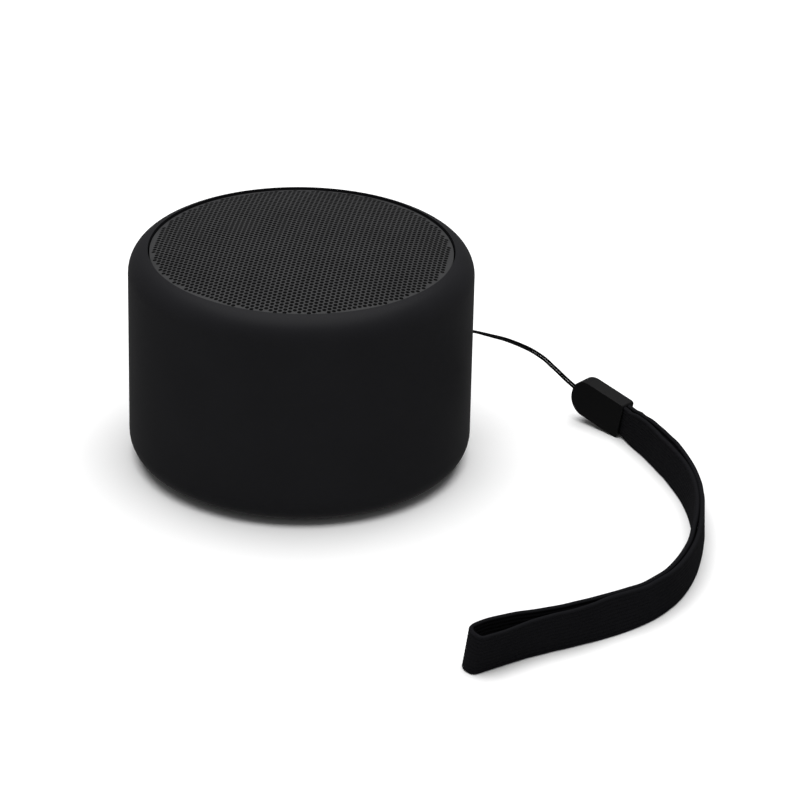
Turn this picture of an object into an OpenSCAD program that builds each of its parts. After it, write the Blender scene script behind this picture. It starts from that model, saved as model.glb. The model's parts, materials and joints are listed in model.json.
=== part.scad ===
// Shower speaker: a small round waterproof loudspeaker with a domed metal grille on top,
// rubber keys and a covered charging socket on its back, and a folded webbing wrist strap
// that clips to a thin string looped round a bar in its side.
// Millimetres. +Z up, origin at the centre of the face that it stands on,
// keys and charging socket on the +Y side, wrist strap on the +X side.

/* [Casing] */
// Diameter of the casing
body_d = 80; // [80:0.5:82]
// Height of the casing's shoulder above the table
body_top = 52; // [52:0.1:52.5]
// Radius of the rounded shoulder and of the rounded bottom edge
edge_r = 6; // [5:0.5:6]
// Thickness of the casing's wall
wall = 2.4; // [2.2:0.1:2.6]

/* [Grille] */
// Radius of the opening that the grille sits in
opening_r = 35.4; // [35.4:0.1:35.8]
// How far the middle of the grille rises above its edge
dome_rise = 3; // [2:0.5:4]
// Thickness of the grille's sheet
grille_t = 0.8; // [0.6:0.1:1]

/* [Keys] */
// Radius of a key
key_r = 3; // [2.5:0.1:3]
// Distance between neighbouring keys
key_pitch = 8; // [8:0.1:8.2]
// Height of the keys above the table
key_z = 34; // [33.5:0.5:34.5]

/* [Charging socket] */
// Height of the socket's middle above the table
socket_z = 17.2; // [17.2:0.1:17.4]
// Width of the flap that covers it
flap_w = 15; // [13:0.5:15]

/* [Driver] */
// Radius of the voice coil's former, inside
coil_r = 7.9; // [7.9:0.1:8]
// How far the cone moves each way
cone_travel = 1.5; // [1:0.1:1.5]

/* [Wrist strap] */
// Width of the webbing
webbing_w = 9.5; // [9:0.1:10]
// Thickness of the webbing
webbing_t = 1.1; // [0.8:0.1:1.1]
// Diameter of the string
string_d = 0.55; // [0.45:0.05:0.6]
// Length of the plastic clip
clip_len = 15.3; // [15:0.1:16]
// Height of the clip as it stands on its long edge
clip_h = 9.1; // [8.8:0.1:9.5]
// Thickness of the clip
clip_t = 4; // [3.8:0.1:4.5]

/* [Hidden] */
$fn = 96;
eps = 0.01;
run_gap = 0.1;                          // radial running clearance of a key in its bore
body_r = body_d / 2;
inner_r = body_r - wall;

// Heights of the bottom stack, from the table up
shell_z = 0.4;
cover_z = 0.6;
cover_t = 2.8;
cover_r = 33.2;
ledge_z = cover_z + cover_t;
floor_z = ledge_z + 1.8;
base_ledge_r = 28;
battery_l = 46;
battery_z = 8.2;                        // height of the battery's middle
foot_r = [27.3, 32.6];                  // inner and outer radius of the rubber foot
foot_top = 1.6;
base_screw_r = 30;                      // screw circle of the bottom cover and the main board
board_z = 14;
board_t = 1.6;
board_top = board_z + board_t;

// Heights of the top stack
baffle_z = 44.6;
baffle_t = 2.4;
baffle_top = baffle_z + baffle_t;
baffle_r = opening_r - 0.2;
baffle_screw_r = 32;
ledge_t = 2;
ledge_r = 32.6;
membrane_t = 0.3;
gasket_t = 1.2;
skirt_z = baffle_top + membrane_t + gasket_t;
grille_r = opening_r - 0.4;
grille_edge = 51.3;                     // height of the dome's edge
dome_r = (grille_r * grille_r + dome_rise * dome_rise) / (2 * dome_rise);
dome_z = grille_edge + dome_rise - dome_r;

// Driver
flange_z = 42.8;
flange_t = 0.8;
flange_r = 24.5;
ear_r = 25.6;                           // screw circle of the driver's four ears
yoke_z = 22.4;
magnet_z = 25.4;
plate_z = 31.4;
plate_top = 34.4;
cone_r = 16;
surround_r = 17.9;                      // middle of the surround's roll
roll_r = 1.9;
rim_z = flange_z + flange_t;            // where the surround's rims lie
spider_z = 36.6;

// Keys: the block that guides them, the sealing mat and the board behind
key_x = [-1.5, -0.5, 0.5, 1.5];
block_y = 34;
key_flange_r = 3.7;
key_end_y = 33;
mat_y = 31.9;
mat_t = 0.4;
key_board_y = 29.4;
key_board_t = 1.2;
post_x = 18.8;
lens_z = 40.4;
lens_r = 0.95;

// Flap and its hinge pin
flap_r = body_r - 0.4;
flap_t = 1.4;
hinge_y = 38.5;
hinge_z = 12.6;
barrel_r = 1.1;
barrel_w = 9.6;
pin_r = 0.45;

// Bar in the casing's side that the string loops round
bar_angle = 27;                         // direction of the bar from +X
bar_dist = 38.3;
bar_r = 1;
bar_z = 23.3;
bar_at = bar_dist * [cos(bar_angle), sin(bar_angle)];

// Clip: the lower middle of its mouth, its heading and how far its nose is lifted
clip_at = [76.3, 11.1, -0.1];
clip_heading = -41.8;
clip_pitch = 11.4;
slot_l = 5;
slot_w = 2.7;
slot_h = 7.7;

// Route of the doubled string's middle, from the bar to the inside of the clip
string_route = [[36.4, 18, 23.3], [38.8, 18.5, 23.1], [41.1, 18.9, 22.6], [43.2, 19.1, 22],
    [45.4, 19.3, 21.35], [47.6, 19.5, 20.7], [49.7, 19.65, 19.9], [51.9, 19.85, 18.9],
    [54.1, 20.05, 17.75], [56, 20.2, 16.5], [57.8, 20.35, 15.1], [59.3, 20.45, 13.6],
    [60.8, 20.6, 12.1], [62.3, 20.75, 10.5], [63.7, 20.85, 9.1], [65.8, 20.4, 7.45],
    [67.9, 18.6, 6.85]];
string_gap = 0.32;                      // half the distance between the two strands
string_heading = 13;                    // direction in which the string leaves the bar
string_turn = [-26, 64];                // how far the pair is turned at the bar and at the clip
turn_r = bar_r + 0.2 + string_d / 2;    // radius of its turn round the bar

// Route of the webbing's outer run on the table, [x, y, distance to the inner run]
strap_run = [[73.3, 14.7, 1.4], [75, 13.2, 1.4], [76.8, 11.6, 1.4], [78.4, 9.3, 1.4],
    [79.4, 7.2, 1.4], [80.2, 5.4, 1.4], [82, 1.8, 1.5], [83.9, -2, 1.6], [85.8, -5.8, 1.7],
    [87.5, -10, 1.7], [89.1, -14.2, 1.6], [90.3, -18.9, 1.5], [91.3, -23.8, 1.4],
    [92, -29, 1.4], [92.4, -34.4, 1.4], [92.4, -39.8, 1.4], [92.2, -45.3, 1.5],
    [91.1, -51.6, 1.5], [89.8, -57.7, 1.3], [88.1, -63.6, 1.3], [86, -68.6, 1.3],
    [83.5, -72.7, 1.3], [80.7, -76.3, 1.3], [77.9, -79.3, 1.5], [75.1, -81.8, 1.8],
    [72.1, -84.1, 2.1], [69.2, -86, 2.3], [66.4, -87.7, 2.4], [63.4, -89.5, 2.4],
    [60.5, -91.2, 2.6], [57.6, -92.6, 2.8], [54.5, -94.3, 3.4], [51.7, -96, 4.2],
    [49, -98, 5]];
// Route round the fold at its far end
strap_fold = [[46.1, -100.2], [43.3, -102.1], [41, -103.3], [39.9, -102.3], [39.3, -100.3],
    [39.3, -98.4], [40.4, -96.8], [42.5, -95.6]];
strap_z = 0.05;
strap_far = 200;                        // further than the strap reaches

// ---- Shapes that several pieces use ----

// A ring or, with no inner radius, a disc
module ring(outer, z0, z1, inner = 0) {
    translate([0, 0, z0]) difference() {
        cylinder(r = outer, h = z1 - z0);
        if (inner > 0) translate([0, 0, -1]) cylinder(r = inner, h = z1 - z0 + 2);
    }
}

// A square-cornered block between two corners
module block(low, high) {
    translate(low) cube(high - low);
}

// The four places on a circle, turned by start
module four(radius, start = 45) {
    for (i = [0:3]) rotate([0, 0, start + 90 * i]) translate([radius, 0, 0]) children();
}

// A cylinder that runs along +Y
module along_y(r, y0, y1) {
    translate([0, y0, 0]) rotate([-90, 0, 0]) cylinder(r = r, h = y1 - y0);
}

// A screw standing on its tip: head below its top face
module screw(head_r, head_h, shaft_r, shaft_h) {
    translate([0, 0, shaft_h]) cylinder(r = head_r, h = head_h);
    cylinder(r = shaft_r, h = shaft_h + eps);
}

// A slot's outline with round ends
module stadium(w, h) {
    square([w - h, h], center = true);
    for (side = [-1, 1]) translate([side * (w - h) / 2, 0]) circle(d = h);
}

// A rectangle with round corners
module rounded_rect(w, h, r) {
    square([w - 2 * r, h], center = true);
    square([w, h - 2 * r], center = true);
    for (x = [-1, 1], y = [-1, 1]) translate([x * (w / 2 - r), y * (h / 2 - r)]) circle(r);
}

// An O-ring
module o_ring(radius, z, section_r) {
    translate([0, 0, z]) rotate_extrude() translate([radius, 0]) circle(section_r);
}

function unit(v) = v / norm(v);
function heading(p, i) = unit(p[min(i + 1, len(p) - 1)] - p[max(i - 1, 0)]);

// A round tube swept along a route, for wires and string; up is never along the route
module tube(route, d, up = [0, 0, 1], sides = 8) {
    rings = [for (i = [0:len(route) - 1])
        let (t = heading(route, i), s = unit(cross(t, up)), n = cross(s, t))
        for (k = [0:sides - 1])
            route[i] + d / 2 * (cos(360 * k / sides) * s + sin(360 * k / sides) * n)];
    last = (len(route) - 1) * sides;
    walls = [for (i = [0:len(route) - 2], k = [0:sides - 1])
        let (a = i * sides + k, b = i * sides + (k + 1) % sides) [a, b, b + sides, a + sides]];
    caps = [[for (k = [sides - 1:-1:0]) k], [for (k = [0:sides - 1]) last + k]];
    polyhedron(points = rings, faces = concat(walls, caps), convexity = 6);
}

// ---- Casing ----

module casing_outline() {
    h = body_top - shell_z;
    translate([0, shell_z]) square([body_r - edge_r, h]);
    translate([0, shell_z + edge_r]) square([body_r, h - 2 * edge_r]);
    for (z = [shell_z + edge_r, body_top - edge_r])
        translate([body_r - edge_r, z]) circle(edge_r);
}

module shell_profile() {
    difference() {
        casing_outline();
        translate([0, floor_z]) square([inner_r, baffle_z - ledge_t - floor_z]);
        translate([0, baffle_z]) square([opening_r, body_top]);
        translate([0, ledge_z]) square([base_ledge_r, floor_z]);
        translate([0, floor_z]) square([ledge_r, body_top]);
        translate([0, -1]) square([cover_r + 0.2, ledge_z + 1]);
        translate([31.5, 0]) square([1.2, ledge_z + 0.9]);
    }
}

module inside_wall() {
    intersection() {
        cylinder(r = inner_r + 0.9, h = body_top);
        children();
    }
}

module flap_pocket() {
    low = hinge_z - barrel_r - 0.25;
    intersection() {
        ring(body_r + 5, 0, body_top, flap_r - flap_t - 0.3);
        block([-flap_w / 2 - 0.4, 30, low], [flap_w / 2 + 0.4, 46, socket_z + 4.5]);
    }
    translate([-flap_w / 2 - 0.4, hinge_y, hinge_z]) rotate([0, 90, 0])
        cylinder(r = barrel_r + 0.25, h = flap_w + 0.8);
}

module outer_shell() {
    color("#1b1b1d") {
        difference() {
            union() {
                rotate_extrude() shell_profile();
                inside_wall() {
                    block([-17.6, block_y, key_z - 5], [17.6, 40, key_z + 5]);
                }
                for (side = [-1, 1]) inside_wall() {
                    translate([side * post_x, 0, key_z])
                        along_y(1.7, key_board_y + key_board_t, 38);
                }
                inside_wall() {
                    block([-10, 34.4, 10.4], [10, 40, 22.6]);
                }
                inside_wall() rotate([0, 0, bar_angle]) {
                    block([33.6, -5.6, bar_z - 6.6], [40, 5.6, bar_z + 6.6]);
                }
                four(baffle_screw_r) {
                    translate([0, 0, 34]) cylinder(r = 3, h = baffle_z - 0.3 - 34);
                    block([0, -1.5, 34], [inner_r + 0.4 - baffle_screw_r, 1.5, 43]);
                }
                four(base_screw_r) {
                    translate([0, 0, ledge_z + 1]) cylinder(r = 3, h = board_z - ledge_z - 1);
                }
            }
            for (k = key_x) translate([k * key_pitch, 0, key_z]) along_y(key_r + run_gap, 30, 42);
            for (side = [-1, 1]) translate([side * post_x, 0, key_z]) along_y(0.8, 30, 34.4);
            translate([0, 0, lens_z]) along_y(lens_r + 0.02, 36, 42);
            translate([0, 42, socket_z]) rotate([90, 0, 0]) linear_extrude(9)
                stadium(9.4, 3.7);
            flap_pocket();
            translate([-flap_w / 2 - 2, hinge_y, hinge_z]) rotate([0, 90, 0])
                cylinder(r = pin_r, h = flap_w + 4);
            rotate([0, 0, bar_angle]) translate([35.4, 0, bar_z]) rotate([90, 0, 90])
                linear_extrude(8) rounded_rect(8.4, 8.4, 2);
            four(baffle_screw_r) translate([0, 0, 36]) cylinder(r = 1.02, h = 12);
            four(base_screw_r) translate([0, 0, 2]) cylinder(r = 1.02, h = 14);
        }
        rotate([0, 0, bar_angle]) translate([bar_dist, 0, bar_z - 4.4])
            cylinder(r = bar_r, h = 8.8);
    }
}

module bottom_cover() {
    color("#202022") {
        difference() {
            ring(cover_r, cover_z, ledge_z);
            ring(foot_r[1] + 0.1, 0, foot_top, foot_r[0] - 0.1);
            four(base_screw_r) {
                cylinder(r = 2.2, h = 2.4);
                cylinder(r = 1.25, h = 5);
            }
        }
        for (side = [-1, 1]) translate([side * (battery_l / 2 + 0.8), 0, ledge_z])
            block([-0.5, -12, -eps], [0.5, 12, 3.4]);
    }
}

module foot_ring() {
    color("#111112") ring(foot_r[1], 0, foot_top, foot_r[0]);
}

module bottom_seal() {
    color("#303033") o_ring(32.1, ledge_z + 0.45, 0.42);
}

module bottom_screws() {
    color("silver") four(base_screw_r) translate([0, 0, 8.6]) mirror([0, 0, 1])
        screw(2.1, 0.76, 1, 6.2);
}

// ---- Grille, membrane and baffle ----

module grille() {
    color("#38383a") rotate_extrude() {
        intersection() {
            difference() {
                translate([0, dome_z]) circle(dome_r, $fn = 1440);
                translate([0, dome_z]) circle(dome_r - grille_t, $fn = 1440);
            }
            translate([0, skirt_z]) square([grille_r, 12]);
        }
        translate([grille_r - grille_t, skirt_z])
            square([grille_t, grille_edge - grille_t / 2 - skirt_z]);
    }
}

module grille_gasket() {
    color("#2a2a2c") ring(opening_r - 0.5, baffle_top + membrane_t, skirt_z, 32);
}

module membrane() {
    color("#0d0d0e") ring(opening_r - 0.5, baffle_top, baffle_top + membrane_t);
}

module baffle() {
    color("#262628") difference() {
        ring(baffle_r, baffle_z, baffle_top, 20.4);
        ring(baffle_r + 1, baffle_z + 0.7, baffle_z + 1.7, baffle_r - 0.8);
        four(baffle_screw_r) {
            translate([0, 0, baffle_z - 1]) cylinder(r = 1.25, h = 5);
            translate([0, 0, baffle_top - 1.1]) cylinder(r = 2.1, h = 2);
        }
        four(ear_r, 0) translate([0, 0, baffle_z - eps]) cylinder(r = 0.8, h = 2);
    }
}

module baffle_seal() {
    color("#303033") o_ring(baffle_r - 0.35, baffle_z + 1.2, 0.44);
}

module baffle_screws() {
    color("silver") four(baffle_screw_r) translate([0, 0, baffle_top - 1.1 - 8])
        screw(2, 1, 1, 8);
}

// ---- Driver ----

module driver_gasket() {
    color("#1f1f21") ring(24, rim_z, baffle_z, 20.8);
}

module driver_screws() {
    color("silver") four(ear_r, 0) translate([0, 0, baffle_z + 1.6]) mirror([0, 0, 1])
        screw(1.9, 1, 0.8, baffle_z + 1.6 - flange_z);
}

module driver_basket() {
    color("#5a5c60") difference() {
        union() {
            ring(flange_r, flange_z, rim_z, 19.4);
            four(ear_r, 0) translate([0, 0, flange_z]) cylinder(r = 2.6, h = flange_t);
            rotate_extrude() {
                polygon([[19.4, rim_z - 0.2], [20.4, rim_z - 0.2], [16.6, 37.6],
                    [16.6, plate_top], [15.6, plate_top], [15.6, 37.9]]);
                translate([10.5, plate_top]) square([6.1, 0.8]);
                translate([14, spider_z - 0.6]) square([2, 0.6]);
            }
        }
        four(ear_r, 0) translate([0, 0, flange_z - 1]) cylinder(r = 1.1, h = 3);
        four(14) block([0, -6, 37.8], [10, 6, 42.2]);
        ring(19.4, rim_z - 0.4, rim_z + 1);
    }
}

module surround() {
    color("#151516") rotate_extrude() {
        intersection() {
            translate([surround_r, rim_z]) difference() {
                circle(roll_r);
                circle(roll_r - 0.3);
            }
            translate([10, rim_z]) square([12, 4]);
        }
        translate([cone_r - 0.8, rim_z]) square([1, 0.3]);
        translate([surround_r + roll_r - 0.2, rim_z]) square([0.8, 0.3]);
    }
}

module cone() {
    color("#2b2b2d") rotate_extrude()
        polygon([[coil_r + 0.2, 37.6], [coil_r + 0.2, 38.3], [cone_r - 0.8, rim_z],
            [cone_r, rim_z], [cone_r, rim_z - 0.4], [cone_r - 0.6, rim_z - 0.4]]);
}

module dust_cap() {
    cap_r = 10;
    rise = 2.2;
    ball_r = (cap_r * cap_r + rise * rise) / (2 * rise);
    base = 40;
    color("#222224") rotate_extrude() intersection() {
        translate([0, base + rise - ball_r]) difference() {
            circle(ball_r, $fn = 256);
            circle(ball_r - 0.4, $fn = 256);
        }
        translate([0, base]) square([cap_r, 5]);
    }
}

module voice_coil() {
    color("#b06a2c") {
        ring(coil_r + 0.2, 27.2, 38.2, coil_r);
        ring(coil_r + 0.6, 28, 32.6, coil_r + 0.2 - eps);
    }
}

module spider() {
    waves = [for (i = [0:26]) [coil_r + 0.2 + i * 0.25, spider_z + 0.25 * (1 - cos(i * 360 / 6.5))]];
    color("#c08a3e") rotate_extrude()
        polygon(concat(waves, [for (i = [26:-1:0]) waves[i] + [0, 0.4]]));
}

module driver_top_plate() {
    color("#8d8f93") ring(14.5, plate_z, plate_top, coil_r + 1);
}

module driver_magnet() {
    color("#3a3a3d") ring(15, magnet_z, plate_z, 10);
}

module driver_yoke() {
    color("#8d8f93") {
        ring(14.5, yoke_z, magnet_z);
        ring(coil_r - 0.3, magnet_z - eps, plate_top);
    }
}

module driver_terminals() {
    color("#b9975b") {
        block([-17.8, -4, 34.7], [-16.65, 4, 37.4]);
        for (y = [-1.6, 1.6]) block([-19.2, y - 0.7, 35.3], [-17.8 + eps, y + 0.7, 35.8]);
    }
}

module speaker_lead() {
    for (side = [-1, 1]) color(side < 0 ? "#8c1f1f" : "#1a1a1a")
        tube([[-19.8, side * 1.6, 35.4], [-21.6, side * 1.5, 34.4], [-23.4, side * 1.4, 31.6],
            [-24.8, side * 1.3, 27.8], [-25.7, side * 1.3, 24], [-26, side * 1.3, 21.2],
            [-26, side * 1.3, 19.6]], 1.2, [0, 1, 0]);
}

// ---- Main board and battery ----

module main_board() {
    color("#175233") difference() {
        intersection() {
            ring(35.5, board_z, board_top);
            block([-30, -27, board_z - 1], [30, 31, board_top + 1]);
        }
        four(base_screw_r) cylinder(r = 1.15, h = 30);
    }
}

module board_screws() {
    color("silver") four(base_screw_r) translate([0, 0, 9.4]) screw(1.9, 1, 1, board_top - 9.4);
}

module radio_module() {
    color("#c3c5c7") difference() {
        block([-9, -25, board_top], [9, -11, board_top + 2.4]);
        for (x = [-6, -2, 2, 6]) translate([x, -18, board_top + 2]) cylinder(r = 0.5, h = 1);
    }
}

module board_chips() {
    color("#1c1c1e") translate([0, 0, board_top]) {
        block([-18.5, -0.5, 0], [-13.5, 4.5, 0.9]);
        block([6, 12, 0], [10, 16, 0.9]);
        for (y = [-7, -14.5]) translate([-15, y, 0]) difference() {
            block([-2.5, -2.5, 0], [2.5, 2.5, 3]);
            translate([0, 0, 2.6]) cylinder(r = 1.6, h = 1);
        }
    }
}

module board_capacitors() {
    color("#a9abb0") for (y = [-8, 0, 8]) translate([18, y, board_top]) {
        block([-3.3, -3.3, 0], [3.3, 3.3, 0.8]);
        cylinder(r = 3.15, h = 5.4);
    }
}

module board_sockets() {
    color("#ddd8c8") {
        block([-28.5, -4, board_top], [-23.5, 4, board_top + 4]);
        block([23.5, -4, board_top], [28.5, 4, board_top + 4]);
        block([-4.5, 22, board_top], [4.5, 25, board_top + 1.6]);
    }
}

module charge_socket() {
    color("#b4b6ba") {
        difference() {
            translate([0, 37, socket_z]) rotate([90, 0, 0]) linear_extrude(7.4)
                stadium(9, 3.2);
            translate([0, 38, socket_z]) rotate([90, 0, 0]) linear_extrude(7.2)
                stadium(8.34, 2.56);
        }
        block([-3.35, 30, socket_z - 0.35], [3.35, 36.2, socket_z + 0.35]);
    }
}

module battery_pack() {
    color("#2f5f9e") translate([-battery_l / 2, 0, battery_z]) rotate([90, 0, 90])
        linear_extrude(battery_l) stadium(34, 8);
}

module battery_foam() {
    color("#444446") block([-20, -12, ledge_z], [20, 12, 4.2]);
}

module battery_lead() {
    for (side = [-1, 1]) color(side < 0 ? "#8c1f1f" : "#1a1a1a")
        tube([[battery_l / 2, side * 1.5, 9], [24.8, side * 1.5, 9], [27.6, side * 1.5, 9.3],
            [30.2, side * 1.5, 10.6], [31.9, side * 1.5, 12.9], [32.2, side * 1.5, 15.2],
            [31.2, side * 1.5, 17], [29.8, side * 1.5, 17.6], [28.5, side * 1.5, 17.6]],
            1.2, [0, 1, 0]);
}

// ---- Keys, light and charging flap ----

module key(index) {
    x = key_x[index] * key_pitch;
    intersection() {
        cylinder(r = body_r - 0.25, h = body_top);
        translate([x, 0, key_z]) along_y(key_r, key_end_y, 42);
    }
    translate([x, 0, key_z]) along_y(key_flange_r, key_end_y, block_y - 0.2);
}

module power_button() { color("#2c2c2f") key(0); }
module minus_button() { color("#2c2c2f") key(1); }
module play_button() { color("#2c2c2f") key(2); }
module plus_button() { color("#2c2c2f") key(3); }

module key_seal() {
    color("#505055") {
        block([-15.6, mat_y, key_z - 4.6], [15.6, mat_y + mat_t, key_z + 4.6]);
        for (z = [key_z - 4.6, key_z + 4])
            block([-15.6, key_board_y + key_board_t, z], [15.6, block_y, z + 0.6]);
    }
}

module key_board() {
    color("#175233") difference() {
        block([-20, key_board_y, 28.6], [20, key_board_y + key_board_t, 41.6]);
        for (side = [-1, 1]) translate([side * post_x, 0, key_z]) along_y(0.9, 28, 32);
    }
}

module key_switches() {
    color("#c9b27c") for (k = key_x) translate([k * key_pitch, 0, key_z]) {
        block([-2, key_board_y + key_board_t, -2], [2, 31.3, 2]);
        along_y(0.9, 31.2, 31.8);
    }
}

module key_board_screws() {
    color("silver") for (side = [-1, 1]) translate([side * post_x, 0, key_z]) {
        along_y(1.1, key_board_y - 0.8, key_board_y);
        along_y(0.8, key_board_y - eps, 32.4);
    }
}

module key_ribbon() {
    middle = [[28.8, 31], [28.8, 26], [28.4, 21], [27.8, 18.4], [27, 17], [26.1, 16.5], [25, 16.5]];
    half = 0.15;
    n = [for (i = [0:len(middle) - 1]) let (t = heading(middle, i)) [-t[1], t[0]]];
    color("#c9cbcf") translate([-3, 0, 0]) rotate([90, 0, 90]) linear_extrude(6)
        polygon(concat(middle + half * n, backwards(middle - half * n)));
    color("#ddd8c8") block([-4.5, 28.2, 31], [4.5, key_board_y, 33]);
}

module status_lens() {
    color("#d8d8dc") intersection() {
        cylinder(r = body_r - 0.1, h = body_top);
        translate([0, 0, lens_z]) along_y(lens_r, 31.5, 42);
    }
}

module status_led() {
    color("#f0e6a8") block([-0.8, key_board_y + key_board_t, lens_z - 0.4], [0.8, 31.3, lens_z + 0.4]);
}

module port_flap() {
    color("#242426") difference() {
        union() {
            intersection() {
                ring(flap_r, 0, body_top, flap_r - flap_t);
                block([-flap_w / 2, 30, hinge_z + 0.3], [flap_w / 2, 42, socket_z + 4.1]);
            }
            translate([-barrel_w / 2, hinge_y, hinge_z]) rotate([0, 90, 0])
                cylinder(r = barrel_r, h = barrel_w);
            block([-3.6, 37.3, socket_z - 0.9], [3.6, flap_r - flap_t + 0.2, socket_z + 0.9]);
        }
        translate([-flap_w, hinge_y, hinge_z]) rotate([0, 90, 0])
            cylinder(r = pin_r + 0.05, h = 2 * flap_w);
    }
}

module flap_pin() {
    color("silver") translate([-flap_w / 2 - 1.8, hinge_y, hinge_z]) rotate([0, 90, 0])
        cylinder(r = pin_r, h = flap_w + 3.6);
}

// ---- String, clip and wrist strap ----

// Where a strand lies beside the string's middle: the pair turns as it nears the clip
function strand(side) = [for (i = [0:len(string_route) - 1])
    let (t = heading(string_route, i), across = unit(cross([0, 0, 1], t)), over = cross(t, across),
        share = min(1, i / 9), turn = string_turn[0] + share * (string_turn[1] - string_turn[0]),
        gap = string_gap + (turn_r - string_gap) * max(0, 1 - i / 2) * 0.8)
    string_route[i] + side * gap * (cos(turn) * across + sin(turn) * over)];
function turn_points() = [for (a = [90:45:270])
    concat(bar_at + turn_r * [cos(string_heading + a), sin(string_heading + a)], [bar_z])];
function backwards(list) = [for (i = [len(list) - 1:-1:0]) list[i]];

module lanyard_string() {
    color("#101011") tube(concat(backwards(strand(1)), turn_points(), strand(-1)), string_d);
}

module clip_outline() {
    nose_r = 4.15;
    mouth_r = 0.7;
    translate([-clip_len + nose_r, 0]) square([clip_len - nose_r - mouth_r, clip_h]);
    translate([-clip_len, nose_r]) square([nose_r, clip_h - 2 * nose_r]);
    for (z = [nose_r, clip_h - nose_r]) translate([-clip_len + nose_r, z]) circle(nose_r);
    translate([-mouth_r, mouth_r]) square([mouth_r, clip_h - 2 * mouth_r]);
    for (z = [mouth_r, clip_h - mouth_r]) translate([-mouth_r, z]) circle(mouth_r);
}

module cord_clip() {
    color("#141415") translate(clip_at) rotate([0, clip_pitch, clip_heading]) difference() {
        translate([0, clip_t / 2, 0]) rotate([90, 0, 0]) linear_extrude(clip_t) clip_outline();
        translate([-slot_l, -slot_w / 2, (clip_h - slot_h) / 2]) cube([8, slot_w, slot_h]);
        translate([-clip_len - 1, 0, clip_h / 2]) rotate([0, 90, 0]) cylinder(r = 0.75, h = 6);
    }
}

function right_of(p, i) = let (t = heading(p, i)) [t[1], -t[0]];
function strap_out() = [for (s = strap_run) [s[0], s[1]]];
function strap_back() = [for (i = [len(strap_run) - 1:-1:0])
    strap_out()[i] + strap_run[i][2] * right_of(strap_out(), i)];
function strap_route() = concat(strap_out(), strap_fold, strap_back());

// The webbing seen from its side: pinched inside the clip's slot, full width beyond it
module strap_side() {
    low = (clip_h - slot_h) / 2 + 0.05;
    high = low + slot_h - 0.1;
    turn = [[cos(clip_pitch), -sin(clip_pitch)], [sin(clip_pitch), cos(clip_pitch)]];
    function slot_point(x, z) = [x, z] * turn + [0, clip_at[2]];
    polygon([slot_point(-slot_l + 0.1, low), slot_point(0.2, low), [5, strap_z],
        [strap_far, strap_z], [strap_far, strap_z + webbing_w], [8, strap_z + webbing_w],
        slot_point(0.4, high), slot_point(-slot_l + 0.1, high)]);
}

module wrist_strap() {
    route = strap_route();
    left = [for (i = [0:len(route) - 1]) route[i] - webbing_t / 2 * right_of(route, i)];
    right = [for (i = [0:len(route) - 1]) route[i] + webbing_t / 2 * right_of(route, i)];
    color("#0f0f10") intersection() {
        translate([0, 0, -1]) linear_extrude(webbing_w + 4) polygon(concat(left, backwards(right)));
        translate([clip_at[0], clip_at[1], 0]) rotate([0, 0, clip_heading])
            translate([0, strap_far, 0]) rotate([90, 0, 0]) linear_extrude(2 * strap_far) strap_side();
    }
}

outer_shell();
grille();
grille_gasket();
membrane();
baffle();
baffle_seal();
baffle_screws();
driver_gasket();
driver_screws();
driver_basket();
surround();
cone();
dust_cap();
voice_coil();
spider();
driver_top_plate();
driver_magnet();
driver_yoke();
driver_terminals();
speaker_lead();
main_board();
board_screws();
radio_module();
board_chips();
board_capacitors();
board_sockets();
charge_socket();
port_flap();
flap_pin();
key_board();
key_switches();
key_board_screws();
key_seal();
power_button();
minus_button();
play_button();
plus_button();
status_lens();
status_led();
key_ribbon();
battery_pack();
battery_foam();
battery_lead();
bottom_cover();
bottom_seal();
bottom_screws();
foot_ring();
lanyard_string();
cord_clip();
wrist_strap();
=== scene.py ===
# %% [markdown]
# # A shower speaker, piece by piece
# A small round loudspeaker for wet rooms: a black soft-touch casing, a domed sheet-metal grille
# with thousands of little holes, rubber keys and a rubber flap on its back, and a folded webbing
# wrist strap that hangs from a thin string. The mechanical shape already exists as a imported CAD
# model. This lesson loads it, keeps every CAD piece in its place, and adds what CAD leaves plain:
# the perforation, the woven strap, the braided string, the key marks and every finish.

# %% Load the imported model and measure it
import json
import math

import bmesh
import bpy
import numpy as np
from mathutils import Matrix, Vector


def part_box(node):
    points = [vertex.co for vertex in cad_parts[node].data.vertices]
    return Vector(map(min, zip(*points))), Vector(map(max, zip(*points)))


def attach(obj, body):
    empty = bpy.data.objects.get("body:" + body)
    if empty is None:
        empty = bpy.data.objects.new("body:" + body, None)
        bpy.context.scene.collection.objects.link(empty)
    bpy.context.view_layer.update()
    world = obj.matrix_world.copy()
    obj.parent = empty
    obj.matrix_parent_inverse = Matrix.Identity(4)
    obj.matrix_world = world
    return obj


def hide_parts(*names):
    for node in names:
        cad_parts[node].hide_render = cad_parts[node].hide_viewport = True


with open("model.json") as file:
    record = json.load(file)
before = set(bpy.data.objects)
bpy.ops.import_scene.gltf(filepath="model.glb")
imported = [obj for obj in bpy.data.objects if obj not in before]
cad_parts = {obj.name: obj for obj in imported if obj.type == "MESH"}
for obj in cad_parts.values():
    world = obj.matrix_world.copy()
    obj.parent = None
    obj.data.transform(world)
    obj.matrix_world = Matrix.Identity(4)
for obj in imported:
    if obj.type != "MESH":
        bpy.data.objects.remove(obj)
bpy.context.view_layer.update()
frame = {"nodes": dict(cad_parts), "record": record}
MM = 0.001

# %% [markdown]
# The camera comes first, because the free string and the strap have to lie inside its view. It is
# a long lens, almost a metre away, that looks down at the table at a little over 26 degrees and
# leans by about one degree. A look-at matrix is built by hand: the camera's own Z axis points
# backwards along the view, and the small lean is one more turn about that axis.

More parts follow.
